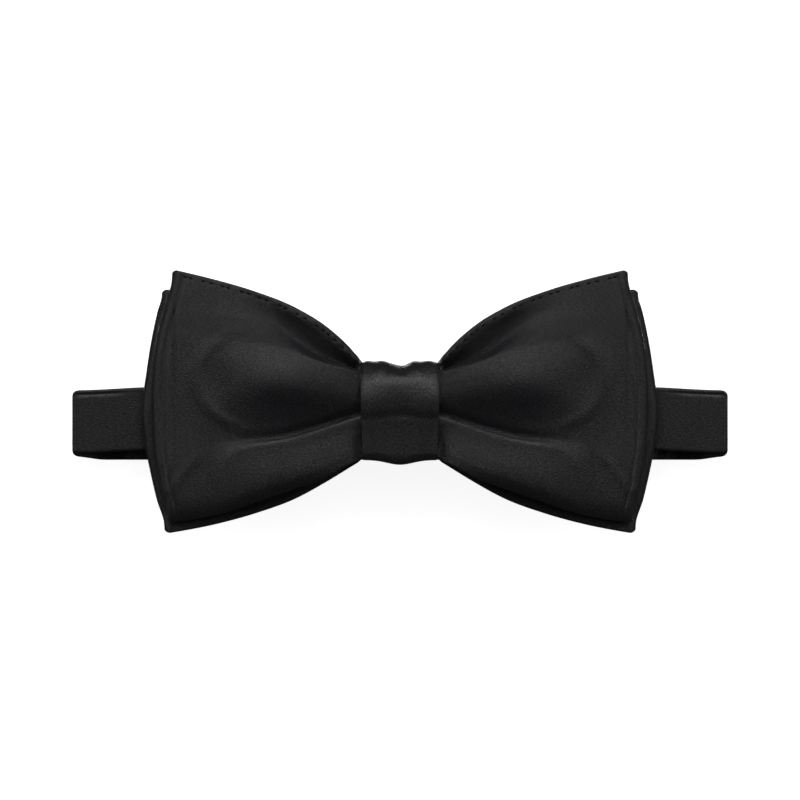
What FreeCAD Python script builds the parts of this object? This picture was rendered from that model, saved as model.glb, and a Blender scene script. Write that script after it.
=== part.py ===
"""A gentleman's pre-tied bow tie: two sewn bows, a knot band, and an adjustable neck strap.

Millimetres. X runs across the tie, Z is up as the tie is worn, and its front faces -Y.
The origin is the collar seat: the middle of the strap's front run, on its front face.
The strap's two ends are folded round behind the bow, where the slider, hook and eye are.
"""
import FreeCAD
import Part
import math
import os

Vector = FreeCAD.Vector
UP = Vector(0, 0, 1)
BACKWARDS = Vector(0, 1, 0)

# The neck strap, and the layers that lie against it.
STRAP = 15.0             # its width
STRAP_CLOTH = 0.8
STRAP_TOP = 8.0          # top edge of the front run
STRAP_LINING = 0.3
STRAP_HALF = 78.1        # from the middle to the outside of either fold
FOLD_GAP = 0.9           # between the two layers at a fold
FOLD_LONG = 4.1          # from the outside of a fold to where its solid ends
TAIL_DROP = 2.4          # how much lower the folded ends lie than the front run
TAIL_BEND = 4.0
SLOPE_END = 66.0         # where the folded ends have reached their own plane
FLAP = 8.0               # length of the sewn-down ends of the strap
SEWN_GAP = 0.02          # between two layers that are sewn together
SLIDE_GAP = 0.3          # between the strap and what it slides through
LAYER_GAP = 0.2          # between two layers that lie on each other
METAL_GAP = 0.15         # between the slider's middle bar and the cloth round it

# The two bows, seen from the front. Each is a flat sewn sleeve, folded into a loop.
FRONT_HALF = 58.3        # from the middle to the front bow's outer fold
REAR_HALF = 60.8         # the same for the rear bow
FRONT_TOP = (53.5, 35.4)
FRONT_BOTTOM = (54.8, -23.9)
REAR_TOP = (56.2, 31.1)
REAR_BOTTOM = (55.5, -26.5)
BOW_CLOTH = 1.4          # face cloth, interlining and lining together
BOW_LINING = 0.5
LINING_ROOM = 0.05       # from an interlining to the cloth on each side of it
HEM = 2.0                # the sewn edge, past which an interlining never reaches
REAR_LOFT = 2.5          # between the middle planes of the rear bow's two layers
WAIST_LOFT = 2.7         # the same for the front bow, at its waist
BULGE_LOFT = 5.5         # and where its wings stand out most
WAIST_TOP = 12.5         # top of the gathered waist, inside the knot

# The binding thread and the small stitches.
THREAD = 0.4
THREAD_GAP = 0.1
THREAD_PITCH = 1.6
THREAD_TURNS = 4
STITCH = 0.3
STITCH_LONG = 1.2
STITCH_PAIRS = 9
TACK_STITCHES = 12
TACK_PROUD = 0.2

# The knot band, a ribbon that runs round the waist and laps over itself behind.
KNOT_HALF = 9.3
KNOT_TOP = 14.2
KNOT_CLOTH = 0.9
KNOT_LINING = 0.3
KNOT_ROOM = 1.6          # from the strap's lower edge down to the inside of the band
KNOT_BULGE = 1.2         # how far the band's front stands out at half height
LAP_LOW = 6.6            # the two ends of the lap behind
LAP_HIGH = 11.2

# The metal: a slider, a hook and an eye.
BAR_X = -50.0            # the slider's middle bar
SLIDER_LONG = 13.0
SLIDER_METAL = 0.8
SLIDER_BAR = 2.2
RAIL = 1.5               # width of the slider's and the hook's side rails
SLOT_ROOM = 0.5          # from the strap's edge to a rail
HOOK_X = 30.7            # the hook's slot bar, which the strap turns round
HOOK_METAL = 1.0
HOOK_BAR = 1.2
HOOK_SLOT = 2.2
HOOK_WIDE = 8.0          # width of the tongue
HOOK_MOUTH = 2.0         # room for the eye's wire
HOOK_END = 44.8
HOOK_RETURN = 6.0
EYE_X = 56.5             # the eye's bar, which the strap turns round
EYE_WIRE = 1.6
EYE_LONG = 8.8           # along X, over the wire
EYE_CORNER = 2.0

# The middle plane of each layer, worked out from the strap's front face at y = 0.
THREAD_ROOM = THREAD + 2 * THREAD_GAP
REAR_BACK_Y = -SLIDE_GAP - THREAD_ROOM - BOW_CLOTH / 2
REAR_FACE_Y = REAR_BACK_Y - REAR_LOFT
FRONT_BACK_Y = REAR_FACE_Y - LAYER_GAP - BOW_CLOTH
FRONT_WAIST_Y = FRONT_BACK_Y - WAIST_LOFT
FRONT_BULGE_Y = FRONT_BACK_Y - BULGE_LOFT
KNOT_FACE_Y = FRONT_WAIST_Y - BOW_CLOTH / 2 - THREAD_ROOM - 0.4 - KNOT_CLOTH / 2
KNOT_BACK_Y = STRAP_CLOTH + SLIDE_GAP + KNOT_CLOTH / 2
RETURN_Y = KNOT_BACK_Y + KNOT_CLOTH / 2 + LAYER_GAP + STRAP_CLOTH / 2
SLIDER_BAR_Y = RETURN_Y + STRAP_CLOTH / 2 + METAL_GAP + SLIDER_METAL / 2
FLAP_Y = 2 * SLIDER_BAR_Y - RETURN_Y
TAIL_Y = FLAP_Y + STRAP_CLOTH + METAL_GAP
SLIDER_BACK_Y = TAIL_Y + STRAP_CLOTH / 2 + LAYER_GAP + SLIDER_METAL / 2
LOOP_Y = (TAIL_Y + RETURN_Y) / 2
LOOP_RADIUS = (TAIL_Y - RETURN_Y) / 2
FOLD_X = STRAP_HALF - STRAP_CLOTH - FOLD_GAP / 2
FOLD_Y = STRAP_CLOTH + FOLD_GAP / 2
FOLD_END = STRAP_HALF - FOLD_LONG

# Heights that follow from the strap's width.
STRAP_LOW = STRAP_TOP - STRAP
TAIL_LOW = STRAP_LOW - TAIL_DROP
TAIL_HIGH = TAIL_LOW + STRAP
TAIL_MID = TAIL_LOW + STRAP / 2
KNOT_BOTTOM = STRAP_LOW - KNOT_ROOM - KNOT_CLOTH
WAIST_BOTTOM = KNOT_BOTTOM + KNOT_CLOTH + THREAD_ROOM + LAYER_GAP
METAL_HIGH = STRAP + 2 * (SLOT_ROOM + RAIL)
METAL_LOW = TAIL_MID - METAL_HIGH / 2


def flat(x, y):
    return Vector(x, y, 0)


def left_of(direction):
    return Vector(-direction.y, direction.x, 0)


def side_edges(points, radii, shift, closed=False):
    """The side of a path that lies shift to its left, with its corners rounded.

    Each corner has its own radius on the path itself, so an inner side has a smaller one.
    """
    count = len(points)
    corners = []
    for i, point in enumerate(points):
        first = not closed and i == 0
        last = not closed and i == count - 1
        ahead = None if last else (points[(i + 1) % count] - point).normalize()
        behind = None if first else (point - points[i - 1]).normalize()
        if first or last:
            corners.append((point + left_of(ahead or behind) * shift, None))
            continue
        turn = math.atan2(behind.cross(ahead).z, behind.dot(ahead))
        outward = (left_of(behind) + left_of(ahead)).normalize()
        corner = point + outward * (shift / math.cos(turn / 2))
        radius = radii[i] - shift * (1 if turn > 0 else -1)
        reach = radius * math.tan(abs(turn) / 2)
        start = corner - behind * reach
        end = corner + ahead * reach
        toward = (ahead - behind).normalize()
        middle = corner + toward * (radius / math.cos(turn / 2) - radius)
        corners.append((start, (start, middle, end)))
    edges = []
    here = corners[-1][1][2] if closed else corners[0][0]
    for start, arc in corners if closed else corners[1:]:
        if start.distanceToPoint(here) > 1e-6:
            edges.append(Part.LineSegment(here, start).toShape())
        here = start
        if arc:
            edges.append(Part.Arc(*arc).toShape())
            here = arc[2]
    return edges


def ribbon(points, radii, thickness, low, high, closed=False):
    """A ribbon on edge: its path lies flat, and it stands from low to high."""
    points = [flat(*p) for p in points]
    if not isinstance(radii, (list, tuple)):
        radii = [radii] * len(points)
    left = side_edges(points, radii, thickness / 2, closed)
    right = side_edges(points, radii, -thickness / 2, closed)
    if closed:
        faces = [Part.Face(Part.Wire(Part.__sortEdges__(side))) for side in (left, right)]
        faces.sort(key=lambda face: face.Area)
        section = faces[1].cut(faces[0])
    else:
        caps = [
            Part.LineSegment(left[0].firstVertex().Point, right[0].firstVertex().Point).toShape(),
            Part.LineSegment(left[-1].lastVertex().Point, right[-1].lastVertex().Point).toShape(),
        ]
        section = Part.Face(Part.Wire(Part.__sortEdges__(left + right + caps)))
    section.translate(UP * low)
    return section.extrude(UP * (high - low))


def block(x, y, z):
    """A box between two limits along each axis."""
    corner = Vector(min(x), min(y), min(z))
    return Part.makeBox(max(x) - min(x), max(y) - min(y), max(z) - min(z), corner)


def stand_on_end(shape):
    """Turn a shape so that its X, Y and Z run along Y, Z and X."""
    turned = shape.copy()
    turned.rotate(Vector(0, 0, 0), Vector(1, 1, 1), 120)
    return turned


def mirrored(shape):
    return shape.mirror(Vector(0, 0, 0), Vector(1, 0, 0))


def write(name, *solids):
    shape = solids[0] if len(solids) == 1 else Part.makeCompound(list(solids))
    for solid in shape.Solids:
        if not solid.isValid() or solid.Volume <= 0:
            raise ValueError(name + " is not a sound solid")
    shape.exportStep("parts/" + name + ".step")
    box = shape.BoundBox
    print(f"{name:24s} x {box.XMin:7.2f} {box.XMax:7.2f}  y {box.YMin:7.2f} {box.YMax:7.2f}"
          f"  z {box.ZMin:7.2f} {box.ZMax:7.2f}  {len(shape.Solids)} of {shape.Volume:.1f} mm3")


def outline_edge(start, middle, end):
    """One side of a bow's outline: an arc through three points, given across and up."""
    return Part.Arc(*(Vector(x, 0, z) for x, z in (start, middle, end))).toShape()


def bow_outline(top, bottom, half, top_mid, bottom_mid, inset=0.0):
    """The front view of a bow as a prism, with both wings flaring from the waist.

    The inset draws the hems in and leaves the outer folds where they are.
    """
    waist_x = KNOT_HALF + 0.4
    waist_top = WAIST_TOP - inset
    waist_low = WAIST_BOTTOM + inset
    top = (top[0], top[1] - inset)
    bottom = (bottom[0], bottom[1] + inset)
    top_mid = (top_mid[0], top_mid[1] - inset)
    bottom_mid = (bottom_mid[0], bottom_mid[1] + inset)
    right = [
        outline_edge((waist_x, waist_top), top_mid, top),
        outline_edge(top, (half, (top[1] + bottom[1]) / 2), bottom),
        outline_edge(bottom, bottom_mid, (waist_x, waist_low)),
    ]
    across = [
        Part.LineSegment(Vector(-waist_x, 0, z), Vector(waist_x, 0, z)).toShape()
        for z in (waist_top, waist_low)
    ]
    edges = right + [mirrored(edge) for edge in right] + across
    face = Part.Face(Part.Wire(Part.__sortEdges__(edges)))
    face.translate(Vector(0, -20, 0))
    return face.extrude(BACKWARDS * 40)


def front_bow_path():
    """The front bow from its end behind the waist, round one fold, across and back."""
    fold = FRONT_HALF - BOW_CLOTH / 2
    right = [
        (0.6, FRONT_BACK_Y),
        (fold - 8, FRONT_BACK_Y),
        (fold, FRONT_BACK_Y - 0.5),
        (fold, FRONT_BACK_Y - 3.0),
        (44.0, FRONT_BULGE_Y + 1.0),
        (27.0, FRONT_BULGE_Y),
        (KNOT_HALF + 3.0, FRONT_WAIST_Y),
    ]
    radii = [0, 30.0, 1.2, 1.2, 30.0, 30.0, 12.0]
    return right + [(-x, y) for x, y in reversed(right)], radii + radii[::-1]


def rear_bow_path():
    """The rear bow, flatter and wider than the front one."""
    fold = REAR_HALF - BOW_CLOTH / 2
    right = [(0.6, REAR_BACK_Y), (fold, REAR_BACK_Y), (fold, REAR_FACE_Y)]
    radii = [0, 1.2, 1.2]
    return right + [(-x, y) for x, y in reversed(right)], radii + radii[::-1]


def sleeve(path, outline, outline_inside, cloth, lining):
    """A sewn sleeve and the interlining inside it, both cut to a front outline."""
    points, radii = path
    outer = ribbon(points, radii, cloth, -40, 40).common(outline)
    room = ribbon(points, radii, lining + 2 * LINING_ROOM, -40, 40).common(outline_inside)
    inner = ribbon(points, radii, lining, -39.9, 39.9).common(outline_inside)
    return outer.cut(room), inner


def make_bows():
    front = dict(top=FRONT_TOP, bottom=FRONT_BOTTOM, half=FRONT_HALF,
                 top_mid=(24.8, 26.0), bottom_mid=(32.1, -17.8))
    rear = dict(top=REAR_TOP, bottom=REAR_BOTTOM, half=REAR_HALF,
                top_mid=(26.0, 23.0), bottom_mid=(30.0, -19.6))
    for name, path, shape in (("front_bow", front_bow_path(), front),
                              ("rear_bow", rear_bow_path(), rear)):
        outer, inner = sleeve(path, bow_outline(**shape), bow_outline(inset=HEM, **shape),
                              BOW_CLOTH, BOW_LINING)
        write(name, *outer.Solids)
        write(name + "_interlining", *inner.Solids)


def knot_path():
    """The knot band from its inner end behind the waist, down, round the front and back."""
    low = KNOT_BOTTOM + KNOT_CLOTH / 2
    high = KNOT_TOP - KNOT_CLOTH / 2
    lap_y = KNOT_BACK_Y + KNOT_CLOTH + LINING_ROOM
    points = [
        (KNOT_BACK_Y, LAP_HIGH),
        (KNOT_BACK_Y, low),
        (KNOT_FACE_Y, low),
        (KNOT_FACE_Y - KNOT_BULGE, low + 8.0),
        (KNOT_FACE_Y - KNOT_BULGE, high - 6.0),
        (KNOT_FACE_Y, high),
        (lap_y, high),
        (lap_y, LAP_LOW),
    ]
    return points, [0, 1.0, 2.4, 12.0, 10.0, 2.4, 1.4, 0]


def make_knot():
    """The knot band, drawn in slightly towards its lower edge, and its interlining."""
    points, radii = knot_path()
    band = stand_on_end(ribbon(points, radii, KNOT_CLOTH, -KNOT_HALF, KNOT_HALF))
    sides = [(-KNOT_HALF, 20), (KNOT_HALF, 20), (KNOT_HALF - 0.7, -20), (-KNOT_HALF + 0.7, -20)]
    corners = [Vector(x, -20, z) for x, z in sides + sides[:1]]
    taper = Part.Face(Part.makePolygon(corners)).extrude(BACKWARDS * 40)
    hem = KNOT_HALF - HEM
    room = stand_on_end(ribbon(points, radii, KNOT_LINING + 2 * LINING_ROOM, -hem, hem))
    inner = stand_on_end(ribbon(points, radii, KNOT_LINING, -hem + LINING_ROOM, hem - LINING_ROOM))
    write("knot_band", *band.common(taper).cut(room).Solids)
    write("knot_interlining", inner)

    tacks = []
    lap_y = KNOT_BACK_Y + 1.5 * KNOT_CLOTH + LINING_ROOM
    for x in (-6.0, -3.0, 0.0, 3.0, 6.0):
        tacks.append(block((x - STITCH_LONG / 2, x + STITCH_LONG / 2),
                           (lap_y, lap_y + 0.1), (LAP_LOW + 1.9, LAP_LOW + 1.9 + STITCH)))
    write("knot_tack_stitches", *tacks)


def make_binding_thread():
    """Turns of thread that hold both bows' waists gathered, under the knot band."""
    reach = THREAD_GAP + THREAD / 2
    front = FRONT_WAIST_Y - BOW_CLOTH / 2 - reach
    back = REAR_BACK_Y + BOW_CLOTH / 2 + reach
    low = WAIST_BOTTOM - reach
    high = WAIST_TOP + reach
    loop = [(back, low), (front, low), (front, high), (back, high)]
    turns = []
    for turn in range(THREAD_TURNS):
        x = (turn - (THREAD_TURNS - 1) / 2) * THREAD_PITCH
        ring = ribbon(loop, 0.5, THREAD, x - THREAD / 2, x + THREAD / 2, closed=True)
        turns.append(stand_on_end(ring))
    write("waist_binding_thread", *turns)


def front_face_y(x):
    """How far forward the front bow's face cloth stands, x from the middle."""
    points, _ = front_bow_path()
    face = sorted(p for p in points if p[1] < FRONT_BACK_Y - 1.0)
    for (x0, y0), (x1, y1) in zip(face, face[1:]):
        if x0 <= x <= x1:
            return y0 + (y1 - y0) * (x - x0) / (x1 - x0) - BOW_CLOTH / 2
    raise ValueError("past the fold")


def make_pick_stitches():
    """Pairs of short stitches just inside the top hem of each front wing."""
    outline = outline_edge((KNOT_HALF + 0.4, WAIST_TOP), (24.8, 26.0), FRONT_TOP)
    right = []
    for pair in range(STITCH_PAIRS):
        for half in (-1, 1):
            along = 0.25 + 0.69 * pair / (STITCH_PAIRS - 1)
            x = FRONT_TOP[0] * along + half * STITCH_LONG * 0.8
            cutter = Part.LineSegment(Vector(x, 0, -50), Vector(x, 0, 50)).toShape()
            edge_z = outline.distToShape(cutter)[1][0][0].z
            y = front_face_y(x) - 0.45
            right.append(block((x - STITCH_LONG / 2, x + STITCH_LONG / 2),
                               (y, y + 0.15), (edge_z - 1.4, edge_z - 1.4 + STITCH)))
    write("pick_stitches_right", *right)
    write("pick_stitches_left", *[mirrored(stitch) for stitch in right])


def strap_solid(points, radii, low, high):
    """A stretch of the strap, given by its middle line seen from above."""
    return ribbon(points, radii, STRAP_CLOTH, low, high)


def make_strap_front():
    """The run behind the bow, with its interlining, and the fold at each end."""
    y = STRAP_CLOTH / 2
    run = [(-FOLD_END, y), (FOLD_END, y)]
    low = STRAP_LOW + HEM
    high = STRAP_TOP - HEM
    room = ribbon(run, 0, STRAP_LINING + 2 * SEWN_GAP, low - SEWN_GAP, high + SEWN_GAP)
    write("strap_front_run", strap_solid(run, 0, STRAP_LOW, STRAP_TOP).cut(room))
    write("strap_interlining", ribbon(run, 0, STRAP_LINING, low, high))

    back_y = 2 * FOLD_Y - y
    turn = FOLD_Y - y
    end = STRAP_HALF - STRAP_CLOTH / 2
    fold = [(FOLD_END, y), (end, y), (end, back_y), (FOLD_END, back_y)]
    solid = strap_solid(fold, turn, STRAP_LOW - TAIL_DROP / 2, STRAP_TOP - TAIL_DROP / 2)
    write("strap_right_fold", solid)
    write("strap_left_fold", mirrored(solid))


def loop_points(x, y_far, y_near, reach, away):
    """A turn round a bar at x: out along one plane and back along another.

    reach is where the two ends stop, and away is +1 or -1, the way the turn bulges.
    """
    end = x + away * abs(y_far - y_near) / 2
    return [(reach, y_far), (end, y_far), (end, y_near), (reach, y_near)]


def make_left_tail():
    """The left end: its tail, its turn through the hook and its return to the slider."""
    behind_fold = 2 * FOLD_Y - STRAP_CLOTH / 2
    turn_start = HOOK_X - 3.0
    return_end = BAR_X + FLAP + 1.5
    tail = [(-FOLD_END, behind_fold), (-FOLD_END + 1.0, behind_fold),
            (-SLOPE_END, TAIL_Y), (turn_start, TAIL_Y)]
    write("strap_left_tail", strap_solid(tail, TAIL_BEND, TAIL_LOW, TAIL_HIGH))
    turn = loop_points(HOOK_X, TAIL_Y, RETURN_Y, turn_start, 1)
    write("strap_hook_turn", strap_solid(turn, LOOP_RADIUS, TAIL_LOW, TAIL_HIGH))
    back = [(turn_start, RETURN_Y), (return_end, RETURN_Y)]
    write("strap_left_return", strap_solid(back, 0, TAIL_LOW, TAIL_HIGH))

    bar_left = BAR_X - SLIDER_BAR / 2 + 0.3
    radius = (FLAP_Y - RETURN_Y) / 2
    sewn_y = RETURN_Y + STRAP_CLOTH + SEWN_GAP
    end = [(return_end, RETURN_Y), (bar_left - radius, RETURN_Y), (bar_left - radius, FLAP_Y),
           (BAR_X + 1.8, FLAP_Y), (BAR_X + 4.0, sewn_y), (BAR_X + FLAP, sewn_y)]
    write("strap_end_loop", strap_solid(end, [0, radius, radius, 1.0, 1.0, 0], TAIL_LOW, TAIL_HIGH))
    tack_y = sewn_y + STRAP_CLOTH / 2
    write("slider_bar_tack", *bar_tack(BAR_X + FLAP - 1.5, tack_y, tack_y + TACK_PROUD))


def make_right_tail():
    """The right end: its short tail and the sewn loop that carries the eye."""
    behind_fold = 2 * FOLD_Y - STRAP_CLOTH / 2
    tail_end = EYE_X + 3.5
    tail = [(FOLD_END, behind_fold), (FOLD_END - 1.0, behind_fold), (SLOPE_END, TAIL_Y),
            (tail_end, TAIL_Y)]
    write("strap_right_tail", strap_solid(tail, TAIL_BEND, TAIL_LOW, TAIL_HIGH))
    sewn_y = TAIL_Y - STRAP_CLOTH - SEWN_GAP
    end = loop_points(EYE_X, TAIL_Y, RETURN_Y, tail_end, -1)
    end[-1] = (EYE_X + 1.5, RETURN_Y)
    end += [(EYE_X + 4.7, sewn_y), (EYE_X + FLAP, sewn_y)]
    radii = [0, LOOP_RADIUS, LOOP_RADIUS, 1.0, 1.0, 0]
    write("strap_eye_loop", strap_solid(end, radii, TAIL_LOW, TAIL_HIGH))
    tack_y = sewn_y - STRAP_CLOTH / 2
    write("eye_bar_tack", *bar_tack(EYE_X + FLAP - 1.5, tack_y - TACK_PROUD, tack_y))


def bar_tack(x, near, far):
    """A dense column of short stitches across the strap."""
    edge = 1.5
    pitch = (STRAP - 2 * edge) / (TACK_STITCHES - 1)
    stitches = []
    for i in range(TACK_STITCHES):
        z = TAIL_LOW + edge + i * pitch
        stitches.append(block((x - STITCH_LONG / 2, x + STITCH_LONG / 2), (near, far),
                              (z - STITCH / 2, z + STITCH / 2)))
    return stitches


def make_slider():
    """A bent three-bar slider: the tail runs over its middle bar and under the other two."""
    half = SLIDER_LONG / 2
    bar = SLIDER_BAR / 2
    profile = [(-half, SLIDER_BACK_Y), (-half + 2.2, SLIDER_BACK_Y), (-bar, SLIDER_BAR_Y),
               (bar, SLIDER_BAR_Y), (half - 2.2, SLIDER_BACK_Y), (half, SLIDER_BACK_Y)]
    points = [(BAR_X + x, y) for x, y in profile]
    low = METAL_LOW
    plate = ribbon(points, 0.7, SLIDER_METAL, low, low + METAL_HIGH)
    for side in (-1, 1):
        window = block((BAR_X + side * (bar - 0.1), BAR_X + side * (half - 1.9)),
                       (0, 10), (low + RAIL, low + METAL_HIGH - RAIL))
        plate = plate.cut(window)
    corners = [edge for edge in plate.Edges if is_outer_corner(edge, points, low)]
    write("slider", plate.makeFillet(1.2, corners) if corners else plate)


def is_outer_corner(edge, points, low):
    """Is this one of the plate's four corners, an edge through the metal's thickness?"""
    ends = [vertex.Point for vertex in edge.Vertexes]
    if len(ends) != 2 or ends[0].distanceToPoint(ends[1]) > 1.2 * max(SLIDER_METAL, HOOK_METAL):
        return False
    at_end = any(all(abs(p.x - x) < 1e-6 for p in ends) for x in (points[0][0], points[-1][0]))
    at_side = any(all(abs(p.z - z) < 1e-6 for p in ends) for z in (low, low + METAL_HIGH))
    return at_end and at_side


def make_hook():
    """A stamped plate with a slot for the strap and a tongue bent back into a hook."""
    low = METAL_LOW
    start = HOOK_X - HOOK_BAR / 2
    plate_end = HOOK_X + HOOK_BAR / 2 + HOOK_SLOT + 1.6
    lip_y = LOOP_Y + HOOK_METAL + HOOK_MOUTH
    turn = (lip_y - LOOP_Y) / 2
    bend = HOOK_END - HOOK_METAL / 2
    path = [(start, LOOP_Y), (bend, LOOP_Y), (bend, lip_y), (bend - HOOK_RETURN, lip_y)]
    plate = ribbon(path, turn, HOOK_METAL, low, low + METAL_HIGH)
    outline = [(start, low), (plate_end, low), (plate_end + 2.5, TAIL_MID - HOOK_WIDE / 2),
               (HOOK_END + 1, TAIL_MID - HOOK_WIDE / 2), (HOOK_END + 1, TAIL_MID + HOOK_WIDE / 2),
               (plate_end + 2.5, TAIL_MID + HOOK_WIDE / 2), (plate_end, low + METAL_HIGH),
               (start, low + METAL_HIGH)]
    corners = [Vector(x, 0, z) for x, z in outline + outline[:1]]
    plate = plate.common(Part.Face(Part.makePolygon(corners)).extrude(BACKWARDS * 20))
    slot = block((HOOK_X + HOOK_BAR / 2, HOOK_X + HOOK_BAR / 2 + HOOK_SLOT), (0, 10),
                 (low + RAIL, low + METAL_HIGH - RAIL))
    write("hook", *plate.cut(slot).Solids)


def make_eye():
    """A ring of round wire, a rounded rectangle, that the hook's tongue catches."""
    right = EYE_X
    left = EYE_X + EYE_WIRE / 2 - EYE_LONG + EYE_WIRE / 2
    half = METAL_HIGH / 2 - EYE_WIRE / 2
    cos45 = EYE_CORNER * (1 - math.sqrt(0.5))
    edges = []
    middle = (right + left) / 2
    reach = (right - left) / 2
    for sx in (-1, 1):
        for sz in (-1, 1):
            def at(dx, dz, sx=sx, sz=sz):
                return Vector(middle + sx * (reach - dx), LOOP_Y, TAIL_MID + sz * (half - dz))
            edges.append(Part.Arc(at(EYE_CORNER, 0), at(cos45, cos45), at(0, EYE_CORNER)).toShape())
    for s in (-1, 1):
        edges.append(Part.LineSegment(
            Vector(middle - reach + EYE_CORNER, LOOP_Y, TAIL_MID + s * half),
            Vector(middle + reach - EYE_CORNER, LOOP_Y, TAIL_MID + s * half)).toShape())
        edges.append(Part.LineSegment(
            Vector(middle + s * reach, LOOP_Y, TAIL_MID - half + EYE_CORNER),
            Vector(middle + s * reach, LOOP_Y, TAIL_MID + half - EYE_CORNER)).toShape())
    path = Part.Wire(Part.__sortEdges__(edges))
    start = edges[-1].firstVertex().Point
    circle = Part.Circle(start, UP, EYE_WIRE / 2)
    ring = path.makePipeShell([Part.Wire(circle.toShape())], True, False)
    write("eye", ring)


os.makedirs("parts", exist_ok=True)
make_bows()
make_knot()
make_binding_thread()
make_pick_stitches()
make_strap_front()
make_left_tail()
make_right_tail()
make_slider()
make_hook()
make_eye()
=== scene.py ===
# %% [markdown]
# # A black satin pre-tied bow tie
# The tie is two folded bows of satin, one in front of the other, gathered by a knot band
# on a neck strap. This lesson builds the cloth as surfaces of two parameters, works in
# millimetres until a piece is finished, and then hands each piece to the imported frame.

# %% Load the frame and keep its size
import math

import bpy
import numpy as np
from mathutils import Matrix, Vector


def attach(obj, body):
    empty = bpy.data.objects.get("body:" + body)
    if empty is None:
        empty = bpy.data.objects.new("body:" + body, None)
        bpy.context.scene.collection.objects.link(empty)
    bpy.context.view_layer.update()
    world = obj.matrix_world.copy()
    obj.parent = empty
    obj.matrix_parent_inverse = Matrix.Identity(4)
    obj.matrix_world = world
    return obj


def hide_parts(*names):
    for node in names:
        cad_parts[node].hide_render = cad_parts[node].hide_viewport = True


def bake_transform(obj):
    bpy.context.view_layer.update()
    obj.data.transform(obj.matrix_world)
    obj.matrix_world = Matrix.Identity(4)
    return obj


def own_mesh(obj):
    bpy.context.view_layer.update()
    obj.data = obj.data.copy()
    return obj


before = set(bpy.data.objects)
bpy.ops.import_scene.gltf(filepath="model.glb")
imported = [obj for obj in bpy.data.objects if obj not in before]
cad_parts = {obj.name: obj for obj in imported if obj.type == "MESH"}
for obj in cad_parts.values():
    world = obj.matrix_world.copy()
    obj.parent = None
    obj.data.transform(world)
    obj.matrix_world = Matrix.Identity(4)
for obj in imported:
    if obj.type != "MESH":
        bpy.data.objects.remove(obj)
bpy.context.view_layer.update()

MM = 0.001


# %% [markdown]
# ## Helpers for surfaces
# A sheet of cloth is a grid of points: one parameter runs along the cloth and the other
# runs across it. Smooth curves through a few chosen points set its edges and folds.
# Bezier curves would do as well, but Hermite curves pass through their points and never
# ring, so a number in a list is a place on the cloth.

# %% Smooth curves and steps
def curve(x, *points):
    """A smooth curve through (x, value) points.

    Between two points it is the cubic Hermite blend of their values and slopes, where a
    point's slope is that of the line between its neighbours. Outside it runs on flat.
    """
    px, py = np.array(points, float).T
    slope = np.gradient(py, px)
    slope[0] = slope[-1] = 0.0
    x = np.clip(x, px[0], px[-1])
    i = np.clip(np.searchsorted(px, x, side="right") - 1, 0, len(px) - 2)
    span = px[i + 1] - px[i]
    t = (x - px[i]) / span
    return (py[i] * (1 + 2 * t) * (1 - t) ** 2 + py[i + 1] * t * t * (3 - 2 * t)
            + span * slope[i] * t * (1 - t) ** 2 - span * slope[i + 1] * t * t * (1 - t))


def ramp(x, start, end):
    """0 before start, 1 after end, and 3t^2 - 2t^3 between them."""
    t = np.clip((x - start) / (end - start), 0, 1)
    return t * t * (3 - 2 * t)


def hump(x, middle, width):
    """A bell: e to the power of minus the square of (x - middle) over width."""
    return np.exp(-((x - middle) / width) ** 2)


print("a ramp half way:", ramp(0.5, 0, 1), "a hump one width out:", round(float(hump(1, 0, 1)), 2))


# %% Points and faces become a piece
def new_piece(name, points, polygons):
    """A smooth mesh at the origin, from points in millimetres and lists of corners."""
    mesh = bpy.data.meshes.new(name)
    mesh.from_pydata((points.reshape(-1, 3) * MM).tolist(), [], polygons)
    mesh.polygons.foreach_set("use_smooth", [True] * len(polygons))
    mesh.update()
    piece = bpy.data.objects.new(name, mesh)
    bpy.context.scene.collection.objects.link(piece)
    return piece


# %% A closed tube of cloth from a grid of points
def ring_mesh(name, points, uv):
    """A tube from an (n, m, 3) grid in millimetres: n rings of m points, closed at both ends.

    Each face joins four neighbours, and the last point of a ring meets the first. uv holds
    the cloth's own coordinates, with one more column than points for where a ring meets.
    """
    n, m = points.shape[:2]
    i, j = np.meshgrid(np.arange(n - 1), np.arange(m), indexing="ij")
    after = (j + 1) % m
    faces = np.stack([i * m + j, (i + 1) * m + j, (i + 1) * m + after, i * m + after], -1)
    corners = np.stack([np.stack([i, j], -1), np.stack([i + 1, j], -1),
                        np.stack([i + 1, j + 1], -1), np.stack([i, j + 1], -1)], -2)
    first = list(range(m))
    last = list(range((n - 1) * m, n * m))[::-1]
    piece = new_piece(name, points, faces.reshape(-1, 4).tolist() + [first, last])
    loops = np.vstack([uv[corners[..., 0], corners[..., 1]].reshape(-1, 2),
                       uv[0, :m], uv[-1, :m][::-1]])
    layer = piece.data.uv_layers.new(name="cloth")
    layer.data.foreach_set("uv", loops.astype(np.float32).ravel())
    return piece


# %% A flat sewn sleeve round a middle surface
def unit(vectors):
    """Each vector divided by its length."""
    return vectors / np.maximum(np.linalg.norm(vectors, axis=-1, keepdims=True), 1e-9)


def distance_along(points, axis):
    """The running length along one axis of a grid, which starts at zero."""
    start = np.take(points, [0], axis=axis)
    return np.linalg.norm(np.diff(points, axis=axis, prepend=start), axis=2)


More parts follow.
